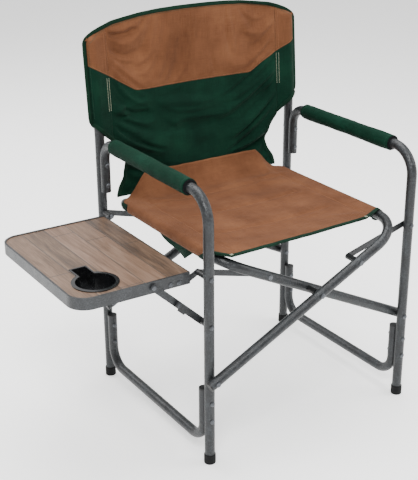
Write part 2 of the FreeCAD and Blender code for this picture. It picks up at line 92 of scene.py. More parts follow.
# ---- small maths ----
def ease(t):
    """0 to 1 with soft ends."""
    t = min(max(t, 0.0), 1.0)
    return t * t * (3 - 2 * t)


def ramp(value, start, end):
    """0 at start to 1 at end, eased."""
    return ease((value - start) / (end - start))


def table(value, stops):
    """Straight-line reading of a list of (place, amount) stops."""
    if value <= stops[0][0]:
        return stops[0][1]
    for (a, low), (b, high) in zip(stops, stops[1:]):
        if value <= b:
            return low + (high - low) * (value - a) / (b - a)
    return stops[-1][1]


def soft_table(value, stops, reach=0.007):
    """The same reading with its corners rounded over reach."""
    steps = (-1.0, -0.5, 0.0, 0.5, 1.0)
    return sum(table(value + k * reach, stops) for k in steps) / len(steps)


def bell(distance, width):
    """1 at no distance, falling away over width."""
    return math.exp(-((distance / width) ** 2))


FOLD_REACH = 3  # widths from a fold's line, past which it is nothing


def fold_height(a, b, folds):
    """Sum of long soft ridges on a plane, each (a0, b0, a1, b1, width, height)."""
    total = 0.0
    for a0, b0, a1, b1, width, height in folds:
        da, db = a1 - a0, b1 - b0
        length = math.hypot(da, db)
        along = ((a - a0) * da + (b - b0) * db) / length
        across = ((a - a0) * db - (b - b0) * da) / length
        if abs(across) < FOLD_REACH * width:
            ends = ramp(along, -0.25 * length, 0.3 * length)
            ends *= 1 - ramp(along, 0.7 * length, 1.25 * length)
            total += height * ends * bell(across, width)
    return total


# ---- materials ----
def srgb(code):
    """Linear colour of a hex code."""
    parts = [int(code[k : k + 2], 16) / 255 for k in (0, 2, 4)]
    return tuple(c / 12.92 if c <= 0.04045 else ((c + 0.055) / 1.055) ** 2.4 for c in parts) + (1.0,)


class Finish:
    """One procedural material and the nodes that feed its shader."""

    def __init__(self, name, **sockets):
        self.material = bpy.data.materials.new(name)
        self.material.use_nodes = True
        self.nodes = self.material.node_tree.nodes
        self.links = self.material.node_tree.links
        self.shader = self.nodes["Principled BSDF"]
        for key, value in sockets.items():
            self.shader.inputs[key.replace("_", " ")].default_value = value
        self.place = self.add("ShaderNodeTexCoord").outputs["Object"]

    def add(self, kind, inputs=(), **settings):
        node = self.nodes.new(kind)
        for key, value in settings.items():
            setattr(node, key, value)
        for key, value in dict(inputs).items():
            if isinstance(value, bpy.types.NodeSocket):
                self.links.new(value, node.inputs[key])
            else:
                node.inputs[key].default_value = value
        return node

    def stretch(self, scales, place=None):
        inputs = {"Vector": place or self.place, "Scale": scales}
        return self.add("ShaderNodeMapping", inputs).outputs[0]

    def noise(self, scale, detail=3.0, roughness=0.5, place=None, distortion=0.0):
        inputs = {
            "Vector": place or self.place,
            "Scale": scale,
            "Detail": detail,
            "Roughness": roughness,
            "Distortion": distortion,
        }
        return self.add("ShaderNodeTexNoise", inputs).outputs[0]

    def cells(self, scale, feature="F1"):
        inputs = {"Vector": self.place, "Scale": scale}
        return self.add("ShaderNodeTexVoronoi", inputs, feature=feature).outputs[0]

    def maths(self, operation, a, b=0.0, c=0.0):
        return self.add("ShaderNodeMath", {0: a, 1: b, 2: c}, operation=operation).outputs[0]

    def weighted(self, *parts):
        """Sum of (value, weight) parts."""
        total = None
        for value, weight in parts:
            part = self.maths("MULTIPLY", value, weight)
            total = part if total is None else self.maths("ADD", total, part)
        return total

    def spread(self, value, source, target=(0.0, 1.0)):
        """A value moved from the source range to the target range, and held inside it."""
        inputs = {0: value, 1: source[0], 2: source[1], 3: target[0], 4: target[1]}
        return self.add("ShaderNodeMapRange", inputs).outputs[0]

    def tones(self, value, *stops):
        """A colour from (place, hex code) stops."""
        node = self.add("ShaderNodeValToRGB", {0: value})
        points = node.color_ramp.elements
        while len(points) < len(stops):
            points.new(0.5)
        for point, (place, colour) in zip(points, stops):
            point.position, point.color = place, srgb(colour)
        return node.outputs[0]

    def mix(self, amount, a, b, way="MIX"):
        settings = {"data_type": "RGBA", "blend_type": way}
        return self.add("ShaderNodeMix", {0: amount, 6: a, 7: b}, **settings).outputs[2]

    def bump(self, height, strength, distance, normal=None):
        inputs = {"Height": height, "Strength": strength, "Distance": distance}
        if normal is not None:
            inputs["Normal"] = normal
        return self.add("ShaderNodeBump", inputs).outputs[0]

    def finish(self, colour, roughness=None, normal=None):
        for socket, output in (("Base Color", colour), ("Roughness", roughness), ("Normal", normal)):
            if output is not None:
                self.links.new(output, self.shader.inputs[socket])
        return self.material


def painted_metal(name, dark, mid, light, cell=330.0, dimple=0.9, **sockets):
    """Hammertone paint: small dimples, cloudy tone, a few rubbed spots."""
    f = Finish(name, **sockets)
    dimples = f.cells(cell, "SMOOTH_F1")
    grains = f.noise(scale=900.0, detail=2.0)
    clouds = f.noise(scale=34.0, detail=4.0, roughness=0.6)
    tone = f.weighted((dimples, 0.5), (clouds, 0.7))
    colour = f.tones(tone, (0.3, dark), (0.55, mid), (0.85, light))
    rubbed = f.spread(f.noise(scale=150.0, detail=5.0, roughness=0.7), (0.66, 0.74), (0.0, 0.25))
    colour = f.mix(rubbed, colour, srgb("6c7175"))
    rough = f.spread(f.weighted((clouds, 1.0), (grains, 0.4)), (0.4, 1.1), (0.34, 0.56))
    normal = f.bump(dimples, strength=dimple, distance=0.0011)
    normal = f.bump(grains, strength=0.25, distance=0.0002, normal=normal)
    return f.finish(colour, rough, normal)


def moulded(name, dark, light, rough, grain=1400.0, depth=0.00015, **sockets):
    """Moulded plastic or rubber: fine grain, faint scuffs, dusty variation."""
    f = Finish(name, **sockets)
    dust = f.noise(scale=45.0, detail=5.0, roughness=0.65)
    grains = f.cells(grain)
    scuffs = f.noise(1.0, detail=4.0, roughness=0.6, place=f.stretch((420.0, 60.0, 240.0)))
    colour = f.tones(dust, (0.3, dark), (0.75, light))
    roughness = f.spread(f.maths("ADD", dust, scuffs), (0.7, 1.3), rough)
    return f.finish(colour, roughness, f.bump(grains, strength=0.5, distance=depth))


THREAD_SCALES = (900.0, 26.0)  # noise across and along one thread of the weave


def woven(name, dark, mid, light, pitch=0.0012, **sockets):
    """Plain-weave canvas on the piece's cloth map, which is in metres."""
    f = Finish(name, **sockets)
    cloth = f.add("ShaderNodeUVMap", uv_map="cloth").outputs[0]
    split = f.add("ShaderNodeSeparateXYZ", {0: cloth})
    turns = 2 * math.pi / pitch
    threads = [f.maths("SINE", f.maths("MULTIPLY", split.outputs[k], turns)) for k in (0, 1)]
    weave = f.maths("MULTIPLY_ADD", f.maths("MULTIPLY", *threads), 0.5, 0.5)
    fine, long = THREAD_SCALES
    warp = f.noise(1.0, detail=3.0, roughness=0.6, place=f.stretch((fine, long, 1.0), cloth))
    weft = f.noise(1.0, detail=3.0, roughness=0.6, place=f.stretch((long, fine, 1.0), cloth))
    patches = f.noise(scale=9.0, detail=5.0, roughness=0.6, place=cloth)
    slubs = f.maths("MULTIPLY", f.maths("ADD", warp, weft), 0.5)
    tone = f.weighted((patches, 0.55), (slubs, 0.45))
    colour = f.tones(tone, (0.34, dark), (0.5, mid), (0.68, light))
    # Painted shade: the low hollows of the weave are darkened towards the dark tone.
    gap_shade = f.spread(weave, (0.0, 0.5), (0.25, 0.0))
    colour = f.mix(gap_shade, colour, srgb(dark), "MULTIPLY")
    rough = f.spread(tone, (0.3, 0.7), (0.94, 0.78))
    puckers = f.noise(scale=38.0, detail=3.0, roughness=0.5, place=cloth)
    normal = f.bump(puckers, strength=0.35, distance=0.004)
    normal = f.bump(f.maths("ADD", weave, slubs), strength=0.55, distance=0.0004, normal=normal)
    return f.finish(colour, rough, normal)


def thread(name, dark, light):
    """Twisted sewing thread."""
    f = Finish(name, Sheen_Weight=0.05, Specular_IOR_Level=0.2, Roughness=0.7)
    twist = f.noise(scale=1500.0, detail=2.0)
    colour = f.tones(twist, (0.35, dark), (0.7, light))
    return f.finish(colour, None, f.bump(twist, strength=0.5, distance=0.0002))


PLANK_WIDTH = 0.0506
PLANK_LENGTH = 0.31
PLANK_STEP = 0.37  # how far each plank's joints lie beyond the last plank's
ALONG_START = 3.0  # keeps every place along a plank positive


def laminate(name):
    """Printed wood planks that run along Y, each with its own tone and grain."""
    f = Finish(name, Coat_Weight=0.12, Coat_Roughness=0.35)
    low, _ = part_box("table_board")
    axes = f.add("ShaderNodeSeparateXYZ", {0: f.place})
    x, y = axes.outputs[0], axes.outputs[1]
    across = f.maths("DIVIDE", f.maths("SUBTRACT", x, low.x), PLANK_WIDTH)
    plank = f.maths("FLOOR", across)
    inside = f.maths("FRACT", across)
    step = f.maths("MULTIPLY", plank, PLANK_STEP)
    joint_at = f.maths("MODULO", f.maths("ADD", f.maths("ADD", y, ALONG_START), step), PLANK_LENGTH)
    from_joint = f.maths("ABSOLUTE", f.maths("SUBTRACT", joint_at, PLANK_LENGTH / 2))
    butt = f.spread(from_joint, (0.0006, 0.0018))
    edge = f.maths("ABSOLUTE", f.maths("SUBTRACT", inside, 0.5))
    seam = f.spread(edge, (0.468, 0.49), (1.0, 0.0))
    open_wood = f.maths("MULTIPLY", seam, butt)
    moved = f.add("ShaderNodeCombineXYZ", {0: x, 1: f.maths("ADD", y, plank), 2: plank}).outputs[0]
    drawn_out = f.stretch((70.0, 5.0, 1.0), moved)
    rings = f.noise(1.0, detail=5.0, roughness=0.62, place=drawn_out, distortion=1.6)
    pores = f.noise(1.0, detail=3.0, roughness=0.7, place=f.stretch((620.0, 22.0, 1.0), moved))
    clouds = f.noise(1.0, detail=3.0, roughness=0.5, place=f.stretch((22.0, 7.0, 1.0), moved))
    shade = f.add("ShaderNodeTexWhiteNoise", {1: plank}, noise_dimensions="1D").outputs[0]
    shift = f.maths("SUBTRACT", shade, 0.5)
    tone = f.weighted((rings, 0.5), (pores, 0.26), (clouds, 0.2), (shift, 0.16))
    colour = f.tones(tone, (0.3, "2b1f16"), (0.42, "4a3728"), (0.52, "634e3d"), (0.68, "7c695b"))
    warm = f.mix(0.5, colour, srgb("8f6038"), "OVERLAY")
    colour = f.mix(f.spread(shade, (0.35, 0.9), (0.05, 0.6)), colour, warm)
    colour = f.mix(open_wood, srgb("33271e"), colour)
    rough = f.spread(pores, (0.3, 0.7), (0.5, 0.36))
    height = f.weighted((open_wood, 1.0), (pores, 0.3))
    return f.finish(colour, rough, f.bump(height, strength=0.45, distance=0.0006))


def cell_foam(name):
    """Black foam with open cells, with painted shade darkening the cells."""
    f = Finish(name, Roughness=0.95, Specular_IOR_Level=0.1)
    holes = f.cells(850.0)
    # Painted shade: the colour is darker in the hollows of the cells.
    colour = f.tones(holes, (0.15, "060607"), (0.6, "131416"))
    return f.finish(colour, None, f.bump(holes, strength=0.8, distance=0.0008))


# Finishes of the carried-over CAD nodes, by material slot.
FINISHES = {
    "tube_paint": painted_metal(
        "hammertone_grey", "121314", "1d1f21", "33373a", Metallic=0.35, Coat_Weight=0.06
    ),
    "rim_metal": painted_metal(
        "rim_dark_grey", "1a1b1d", "27292b", "3b3d40", 420.0, 0.5, Metallic=0.4, Coat_Weight=0.1
    ),
    "bracket_black": painted_metal(
        "bracket_black", "101112", "1d1e20", "33353a", 520.0, 0.4, Metallic=0.5, Coat_Weight=0.1
    ),
    "fastener_steel": painted_metal(
        "fastener_zinc", "2c2d2f", "46484b", "7b7e83", 900.0, 0.2, Metallic=0.9
    ),
    "black_plastic": moulded(
        "black_plastic", "090a0a", "17181a", (0.38, 0.56), Specular_IOR_Level=0.35
    ),
    "cup_plastic": moulded(
        "cup_gloss_black", "060607", "131416", (0.14, 0.28), 700.0, 0.00004,
        Coat_Weight=0.5, Coat_Roughness=0.12,
    ),
    "foot_rubber": moulded(
        "foot_rubber", "070708", "151617", (0.7, 0.92), 800.0, 0.0003, Specular_IOR_Level=0.2
    ),
    "foam": cell_foam("black_foam"),
    "table_wood": laminate("wood_laminate"),
}
# Finishes of the cloth and thread pieces made below.
TAN = woven(
    "tan_canvas", "4b2c19", "603c26", "744c32",
    Specular_IOR_Level=0.12, Sheen_Weight=0.02, Sheen_Roughness=0.5,
)
GREEN = woven(
    "green_canvas", "03170f", "062318", "0c3021",
    Specular_IOR_Level=0.08, Sheen_Weight=0.015, Sheen_Roughness=0.45,
)
PAD_GREEN = woven(
    "pad_canvas", "03180f", "06261a", "0b3325",
    Specular_IOR_Level=0.08, Sheen_Weight=0.01, Sheen_Roughness=0.4,
)
TAPE = woven(
    "green_tape", "04180f", "082216", "0f3022", 0.0008,
    Specular_IOR_Level=0.1, Sheen_Weight=0.02, Sheen_Roughness=0.4,
)
PALE_THREAD = thread("pale_thread", "7f8470", "a9ad98")
TAN_THREAD = thread("tan_thread", "6b432a", "86593c")
GREEN_THREAD = thread("green_thread", "0a281c", "1c4636")

for part in frame["record"]["subparts"]:
    finish = FINISHES.get(part["material_slot"])
    if finish is not None:
        materials = bpy.data.objects[part["node"]].data.materials
        materials.clear()
        materials.append(finish)


# ---- mesh building ----
def new_piece(name, points, faces, cloth=None, materials=(), slots=None, merge=0.0):
    """A smooth mesh. cloth gives each point's place on the flat cloth, in metres."""
    mesh = bpy.data.meshes.new(name)
    mesh.from_pydata([tuple(p) for p in points], [], faces)
    for material in materials:
        mesh.materials.append(material)
    if cloth is not None:
        layer = mesh.uv_layers.new(name="cloth")
        for loop in mesh.loops:
            layer.data[loop.index].uv = cloth[loop.vertex_index]
    for face in mesh.polygons:
        face.use_smooth = True
        if slots is not None:
            face.material_index = slots[face.index]
    if merge:
        work = bmesh.new()
        work.from_mesh(mesh)
        bmesh.ops.remove_doubles(work, verts=work.verts, dist=merge)
        bmesh.ops.dissolve_degenerate(work, edges=work.edges, dist=merge / 4)
        work.to_mesh(mesh)
        work.free()
    piece = bpy.data.objects.new(name, mesh)
    bpy.context.scene.collection.objects.link(piece)
    return piece


def thicken(piece, thickness, lining=0):
    """Give a sheet its thickness, away from its outer side, with its own lining."""
    wall = piece.modifiers.new("thickness", "SOLIDIFY")
    wall.thickness, wall.offset = thickness, -1.0
    wall.material_offset = lining
    bpy.context.view_layer.update()
    shown = piece.evaluated_get(bpy.context.evaluated_depsgraph_get())
    mesh = bpy.data.meshes.new_from_object(shown)
    piece.modifiers.clear()
    piece.data = mesh


def grid_faces(rows, columns, wrap=False):
    """Faces of a grid of points stored row by row; wrap joins each row's ends."""
    faces = []
    for i in range(rows - 1):
        for j in range(columns if wrap else columns - 1):
            k = (j + 1) % columns
            row, above = i * columns, (i + 1) * columns
            faces.append((row + j, row + k, above + k, above + j))
    return faces


def frames_along(path, ups):
    """Unit (side, up) at each point of a path."""
    result = []
    for k, up in enumerate(ups):
        forward = (path[min(k + 1, len(path) - 1)] - path[max(k - 1, 0)]).normalized()
        side = forward.cross(up).normalized()
        result.append((side, side.cross(forward).normalized()))
    return result


WEAVE_SHIFT = 0.003  # keeps the weave on a tape's two faces apart
TAPE_SIDES = 14
TAPE_SQUARENESS = 0.6  # 1 is an ellipse, 0 a rectangle


def sweep(name, path, ups, profile, material):
    """A closed tape: profile is (sideways, upward) points round its section."""
    points, cloth, along = [], [], 0.0
    frames = frames_along(path, ups)
    for k, (place, (side, up)) in enumerate(zip(path, frames)):
        along += (place - path[k - 1]).length if k else 0.0
        for n, (a, b) in enumerate(profile):
            points.append(place + side * a + up * b)
            cloth.append((a + WEAVE_SHIFT * b / abs(b) if b else a, along))
    size = len(profile)
    faces = grid_faces(len(path), size, wrap=True)
    faces.append(tuple(reversed(range(size))))
    last = (len(path) - 1) * size
    faces.append(tuple(range(last, last + size)))
    return new_piece(name, points, faces, cloth, [material])


def tape_profile(half_width, half_height):
    """A flattened round section."""
    result = []
    for k in range(TAPE_SIDES):
        turn = 2 * math.pi * k / TAPE_SIDES
        a, b = (math.copysign(abs(v) ** TAPE_SQUARENESS, v) for v in (math.cos(turn), math.sin(turn)))
        result.append((half_width * a, half_height * b))
    return result


STITCH_PITCH = 0.0034
STITCH_SIDES = 5
STITCH_ENDS = (0.1, 0.9)  # shares of the pitch where a stitch enters and leaves the cloth
STITCH_SHOULDERS = (0.28, 0.72)
STITCH_SUNK, STITCH_RAISED = 0.6, 0.5  # radii below and above the line


def resample(path, ups):
    """(place, up) pairs one stitch apart along a path."""
    result, carried = [], 0.0
    for k in range(len(path) - 1):
        length = (path[k + 1] - path[k]).length
        while carried < length:
            t = carried / length
            result.append((path[k].lerp(path[k + 1], t), ups[k].lerp(ups[k + 1], t)))
            carried += STITCH_PITCH
        carried -= length
    return result


def stitches(name, lines, material, radius=0.00042):
    """Rows of short raised stitches. Each line is (path, ups)."""
    points, faces = [], []
    for path, ups in lines:
        marks = resample(path, ups)
        for (a, up), (b, _) in zip(marks, marks[1:]):
            forward = (b - a).normalized()
            side = forward.cross(up).normalized()
            rise = side.cross(forward)
            first = len(points)
            points.append(a + (b - a) * STITCH_ENDS[0] - rise * radius * STITCH_SUNK)
            for share in STITCH_SHOULDERS:
                middle = a + (b - a) * share + rise * radius * STITCH_RAISED
                for n in range(STITCH_SIDES):
                    turn = 2 * math.pi * n / STITCH_SIDES
                    out, over = radius * math.cos(turn), radius * math.sin(turn)
                    points.append(middle + side * out + rise * over)
            points.append(a + (b - a) * STITCH_ENDS[1] - rise * radius * STITCH_SUNK)
            tail = first + 1 + 2 * STITCH_SIDES
            for n in range(STITCH_SIDES):
                m = (n + 1) % STITCH_SIDES
                ring, next_ring = first + 1, first + 1 + STITCH_SIDES
                faces.append((first, ring + m, ring + n))
                faces.append((ring + n, ring + m, next_ring + m, next_ring + n))
                faces.append((tail, next_ring + n, next_ring + m))
    return new_piece(name, points, faces, None, [material])


DROP_KEPT = 0.3  # share of the vertical movement kept, so that colour seams stay in place


def settle(piece, held, frames, reach, spare):
    """A short cloth simulation between held points, with a spare share of extra cloth.

    No point moves further than reach.
    """
    group = piece.vertex_groups.new(name="held")
    group.add(held, 1.0, "REPLACE")
    cloth = piece.modifiers.new("cloth", "CLOTH")
    values = cloth.settings
    values.quality, values.mass = 7, 0.25
    values.tension_stiffness = values.compression_stiffness = 18.0
    values.shear_stiffness, values.bending_stiffness = 6.0, 1.2
    values.vertex_group_mass = "held"
    values.shrink_min = -spare
    cloth.point_cache.frame_start, cloth.point_cache.frame_end = 1, frames
    scene = bpy.context.scene
    for number in range(1, frames + 1):
        scene.frame_set(number)
    shown = piece.evaluated_get(bpy.context.evaluated_depsgraph_get())
    for vertex, moved in zip(piece.data.vertices, [v.co.copy() for v in shown.data.vertices]):
        step = moved - vertex.co
        step.z *= DROP_KEPT
        if step.length > reach:
            step *= reach / step.length
        vertex.co += step
    piece.modifiers.clear()
    piece.vertex_groups.clear()
    scene.frame_set(1)


# ---- camera ----
CAMERA_PLACE = (-1.281, -1.8225, 1.2947)
CAMERA_HEADING, CAMERA_TILT, CAMERA_ROLL = -32.36, 66.77, -0.42  # degrees
LENS_LENGTH = 78.73
LENS_SHIFT = (0.0061, 0.0309)

lens = bpy.data.cameras.new("camera")
lens.lens = LENS_LENGTH
lens.shift_x, lens.shift_y = LENS_SHIFT
camera = bpy.data.objects.new("camera", lens)
bpy.context.scene.collection.objects.link(camera)
turns = ((CAMERA_HEADING, "Z"), (CAMERA_TILT, "X"), (CAMERA_ROLL, "Z"))
heading, tilt, roll = (Matrix.Rotation(math.radians(angle), 4, axis) for angle, axis in turns)
camera.matrix_world = Matrix.Translation(CAMERA_PLACE) @ (heading @ tilt) @ roll
bpy.context.scene.camera = camera


# ---- seat: a flat part, a wrap round each rail to a seam beneath, a riser before the back ----
HEM_Y = seat_low.y
HEM_X = {-1: 0.2, 1: 0.163}  # where the front hem ends on each side
HEM_SLANT, HEM_SLANT_DEPTH = 0.014, 0.042
HEM_SAG, HEM_SAG_DEPTH = 0.12, 0.12  # share of the sag at the hem, and how far back it is whole
REAR_TIGHTER, REAR_TIGHTER_Y = 0.65, 0.09
SAG = 0.01
SEAT_TOP_Z = RAIL_Z + SLEEVE_R
SEAM_IN = 0.038
WRAP_FULL = math.pi * SLEEVE_R + SEAM_IN
WRAP_REST = 0.5 * math.pi * SLEEVE_R + 0.006  # at the rear, where the cloth only hangs over the rail
RISER_Y = 0.1655
RISER_DEPTH = seat_high.y - 0.0011 - RISER_Y
RISER_STRETCH = 1.02
RISER_TOP_Z = seat_high.z + 0.0035
RISER_TOP_X = 0.155
RISER_PINCH = 0.009
RISER_TURN = math.radians(86)
SEAM_DIP, SEAM_DIP_WIDTH = 0.0016, 0.005
QUILT_DIP, QUILT_DIP_WIDTH = 0.0024, 0.006
WAVE_HEIGHT, WAVE_LENGTH, WAVE_START = 0.0012, 0.119, -0.212
SEAT_RIPPLES = ((0.0013, 11, 15, 2.3), (0.0006, 38, 38, 7.1))  # height, scales, layer of the noise
QUILTING = ((0.14, -0.188, 0.185), (0.033, -0.15, 0.15), (-0.086, -0.157, 0.152))  # y, first and last x
CORNER_MEETS = {-1: -0.18, 1: -0.17}  # y where each cut corner reaches its rail
WRAP_STARTS = {-1: -0.127, 1: -0.158}
WRAP_STOPS = {-1: 0.16, 1: 0.1275}
SEAT_FOLDS = (
    (0.205, 0.185, 0.095, 0.12, 0.006, 0.0028), (0.2, 0.15, 0.11, 0.16, 0.007, 0.0022),
    (0.185, 0.105, 0.08, 0.15, 0.008, 0.0018), (-0.2, 0.18, -0.11, 0.125, 0.007, 0.0022),
    (-0.195, 0.12, -0.12, 0.155, 0.008, 0.0016), (-0.19, -0.19, -0.11, -0.12, 0.008, 0.0018),
    (0.185, -0.185, 0.11, -0.13, 0.008, 0.0016), (-0.15, 0.17, 0.12, 0.185, 0.01, 0.0014),
)


def seat_height(x, y):
    """Top of the seat cloth, between and over the rails."""
    edge = min(abs(x) / RAIL_X, 1.0)
    slack = 1 - REAR_TIGHTER * ramp(y, REAR_TIGHTER_Y, RISER_Y)
    slack *= HEM_SAG + (1 - HEM_SAG) * ramp(y, HEM_Y, HEM_Y + HEM_SAG_DEPTH)
    z = SEAT_TOP_Z - SAG * (1 - edge**2) * slack
    z -= SEAM_DIP * bell(abs(x) - (RAIL_X - SEAM_IN), SEAM_DIP_WIDTH) * ramp(y, HEM_Y, HEM_Y + 0.04)
    inner = 1 - ramp(abs(x), 0.14, 0.19)
    for line, start, end in QUILTING:
        ends = ramp(x, start - 0.01, start + 0.02) * (1 - ramp(x, end - 0.02, end + 0.01))
        z -= QUILT_DIP * bell(y - line, QUILT_DIP_WIDTH) * ends
    wave = math.sin((y - WAVE_START) * 2 * math.pi / WAVE_LENGTH)
    z += inner * WAVE_HEIGHT * wave * (1 - ramp(y, 0.1, 0.15))
    inside = 1 - ramp(abs(x), 0.19, RAIL_X)
    z += inside * fold_height(x, y, SEAT_FOLDS)
    for height, scale_x, scale_y, layer in SEAT_RIPPLES:
        z += inside * height * noise.noise(Vector((x * scale_x, y * scale_y, layer)))
    return z


def hem_shift(x, y):
    """The hem runs a little askew, further back on its right."""
    across = min(max((x + HEM_X[-1]) / (HEM_X[-1] + HEM_X[1]), 0.0), 1.0)
    return HEM_SLANT * across * max(1 - (y - HEM_Y) / HEM_SLANT_DEPTH, 0.0)


def seat_row(along):
    """(y, riser angle) at a developed distance behind the front hem."""
    flat = RISER_Y - HEM_Y
    if along <= flat:
        return HEM_Y + along, 0.0
    angle = min((along - flat) / (RISER_DEPTH * RISER_STRETCH), RISER_TURN)
    return RISER_Y + RISER_DEPTH * math.sin(angle) / math.sin(RISER_TURN), angle


def seat_half(y, angle, side):
    """Half width of the cloth's top, and how far it wraps round the rail."""
    meets = CORNER_MEETS[side]
    if y < meets:
        return HEM_X[side] + (RAIL_X - HEM_X[side]) * (y - HEM_Y) / (meets - HEM_Y), 0.0
    if angle == 0.0:
        wrap = WRAP_FULL * ramp(y, meets - 0.004, WRAP_STARTS[side])
        wrap -= (WRAP_FULL - WRAP_REST) * ramp(y, WRAP_STOPS[side], WRAP_STOPS[side] + 0.02)
        return RAIL_X, max(min(wrap, WRAP_FULL), 0.0)
    share = angle / RISER_TURN
    half = RAIL_X - RISER_PINCH * ramp(share, 0.35, 0.55)
    half -= (RAIL_X - RISER_PINCH - RISER_TOP_X) * ramp(share, 0.5, 1.06)
    return half, WRAP_REST * (1 - ramp(share, 0.25, 0.52))


def seat_point(across, along, side, half, wrap):
    """A point of the cloth: across is 0..1 to the rail top, 1..2 round the rail."""
    y, angle = seat_row(along)
    if across <= 1.0:
        x = side * half * across
        y += hem_shift(x, y)
        z = seat_height(x, min(y, RISER_Y))
        if angle:
            lift = (1 - math.cos(angle)) / (1 - math.cos(RISER_TURN))
            corner = 1 - ramp(abs(x), 0.16, 0.214)
            z += (RISER_TOP_Z - z) * lift * corner
            z += 0.0016 * lift * noise.noise(Vector((x * 30, y * 14, angle)))
            y -= 0.0035 * corner * math.sin(angle * 2) * (0.6 + noise.noise(Vector((x * 22, 3.0, angle))))
        return Vector((x, y, z))
    length = wrap * (across - 1.0)
    y += hem_shift(side * half, y)
    if length <= math.pi * SLEEVE_R:
        turned = length / SLEEVE_R
        x = half + SLEEVE_R * math.sin(turned)
        return Vector((side * x, y, RAIL_Z + SLEEVE_R * math.cos(turned)))
    inward = length - math.pi * SLEEVE_R
    share = inward / SEAM_IN
    x = half - inward
    top = seat_height(side * x, y) - 0.0032
    bottom = RAIL_Z - SLEEVE_R
    return Vector((side * x, y, bottom + (top - bottom) * ease(share) ** 0.9))


TOP_COLUMNS = 44
WRAP_COLUMNS = 22
LINING_COLUMN = 8  # columns round the rail before the green begins
SEAT_LENGTH = RISER_Y - HEM_Y + RISER_TURN * RISER_DEPTH * RISER_STRETCH
SEAT_ROWS = 92
WEAVE_START = (0.35, 0.3, -0.4)  # where the weave begins: seat across, other cloth, back's height

points, cloth = [], []
for i in range(SEAT_ROWS + 1):
    along = SEAT_LENGTH * i / SEAT_ROWS
    y, angle = seat_row(along)
    for j in range(-TOP_COLUMNS - WRAP_COLUMNS, TOP_COLUMNS + WRAP_COLUMNS + 1):
        side = -1 if j < 0 else 1
        half, wrap = seat_half(y, angle, side)
        k = abs(j)
        across = k / TOP_COLUMNS if k <= TOP_COLUMNS else 1 + (k - TOP_COLUMNS) / WRAP_COLUMNS
        points.append(seat_point(across, along, side, half, wrap))
        width = half * min(across, 1.0) + wrap * max(across - 1.0, 0.0)
        cloth.append((WEAVE_START[0] + side * width, along))
row_size = 2 * (TOP_COLUMNS + WRAP_COLUMNS) + 1
slots = []
for k in range(SEAT_ROWS * (row_size - 1)):
    column = abs(k % (row_size - 1) - (row_size - 2) / 2)
    slots.append(1 if column > TOP_COLUMNS + LINING_COLUMN else 0)
faces = grid_faces(SEAT_ROWS + 1, row_size)
seat = new_piece("seat_cloth", points, faces, cloth, [TAN, GREEN, GREEN], slots, merge=0.0004)
thicken(seat, 0.0012, lining=1)
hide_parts("seat_left", "seat_right")


SLOPE_STEP = 0.002


def seat_line(marks):
    """Path and ups on the seat's top from (x, y) marks."""
    path, ups = [], []
    for x, y in marks:
        path.append(Vector((x, y, seat_height(x, y) + 0.0002)))
        slope_x = (seat_height(x + SLOPE_STEP, y) - seat_height(x - SLOPE_STEP, y)) / (2 * SLOPE_STEP)
        slope_y = (seat_height(x, y + SLOPE_STEP) - seat_height(x, y - SLOPE_STEP)) / (2 * SLOPE_STEP)
        ups.append(Vector((-slope_x, -slope_y, 1.0)).normalized())
    return path, ups


CORNER_STEPS, WRAP_STEPS, HEM_STEPS = 12, 16, 60


def corner_edge(side):
    """The cut corner's edge from the hem to beneath the rail."""
    path, ups = [], []
    meets = CORNER_MEETS[side]
    for k in range(1, CORNER_STEPS + 1):
        y = HEM_Y + (meets - HEM_Y) * k / CORNER_STEPS
        half, _ = seat_half(y - 1e-6, 0.0, side)
        y += hem_shift(side * half, y)
        path.append(Vector((side * half, y, seat_height(side * half, y))))
        ups.append(Vector((0, 0, 1)))
    for k in range(1, WRAP_STEPS + 1):
        y = meets + (WRAP_STARTS[side] - meets) * k / WRAP_STEPS
        _, wrap = seat_half(y, 0.0, side)
        turned = min(wrap / SLEEVE_R, math.pi)
        radial = Vector((side * math.sin(turned), 0, math.cos(turned)))
        path.append(Vector((side * RAIL_X, y, RAIL_Z)) + radial * SLEEVE_R)
        ups.append(radial)
    return path, ups


hem = []
for k in range(HEM_STEPS + 1):
    x = -HEM_X[-1] + (HEM_X[-1] + HEM_X[1]) * k / HEM_STEPS
    y = HEM_Y + hem_shift(x, HEM_Y)
    hem.append(Vector((x, y, seat_height(x, y))))
left_path, left_ups = corner_edge(-1)
right_path, right_ups = corner_edge(1)
edge_path = list(reversed(left_path)) + hem + right_path
edge_ups = list(reversed(left_ups)) + [Vector((0, 0, 1))] * len(hem) + right_ups
seat_binding = sweep("seat_binding", edge_path, edge_ups, tape_profile(0.0042, 0.0027), TAPE)

MARK_STEP = 0.004
HEM_STITCH_IN = 0.0075
quilt_lines = []
for line, start, end in QUILTING:
    count = int((end - start) / MARK_STEP)
    quilt_lines.append(seat_line([(start + (end - start) * k / count, line) for k in range(count + 1)]))
for side in (-1, 1):
    seam_x = side * (RAIL_X - SEAM_IN)
    quilt_lines.append(seat_line([(seam_x, HEM_Y + 0.03 + MARK_STEP * k) for k in range(86)]))
quilt_lines.append(seat_line([(v.x, v.y + HEM_STITCH_IN) for v in hem[2:-2]]))
seat_stitches = stitches("seat_stitches", quilt_lines, TAN_THREAD, 0.0006)
TACK_THREADS, TACK_GAP, TACK_LENGTH, TACK_LIFT = 4, 0.0016, 0.0095, 0.003
tacks = []
for side in (-1, 1):
    for k in range(TACK_THREADS):
        x = side * (HEM_X[side] - 0.002 + TACK_GAP * k)
        y = HEM_Y + hem_shift(x, HEM_Y)
        path = [Vector((x, y - 0.004, seat_height(x, y) + TACK_LIFT)) for _ in range(2)]
        path[1].y += TACK_LENGTH
        tacks.append((path, [Vector((0, 0, 1))] * 2))
seat_tacks = stitches("seat_bar_tacks", tacks, PALE_THREAD, 0.0006)

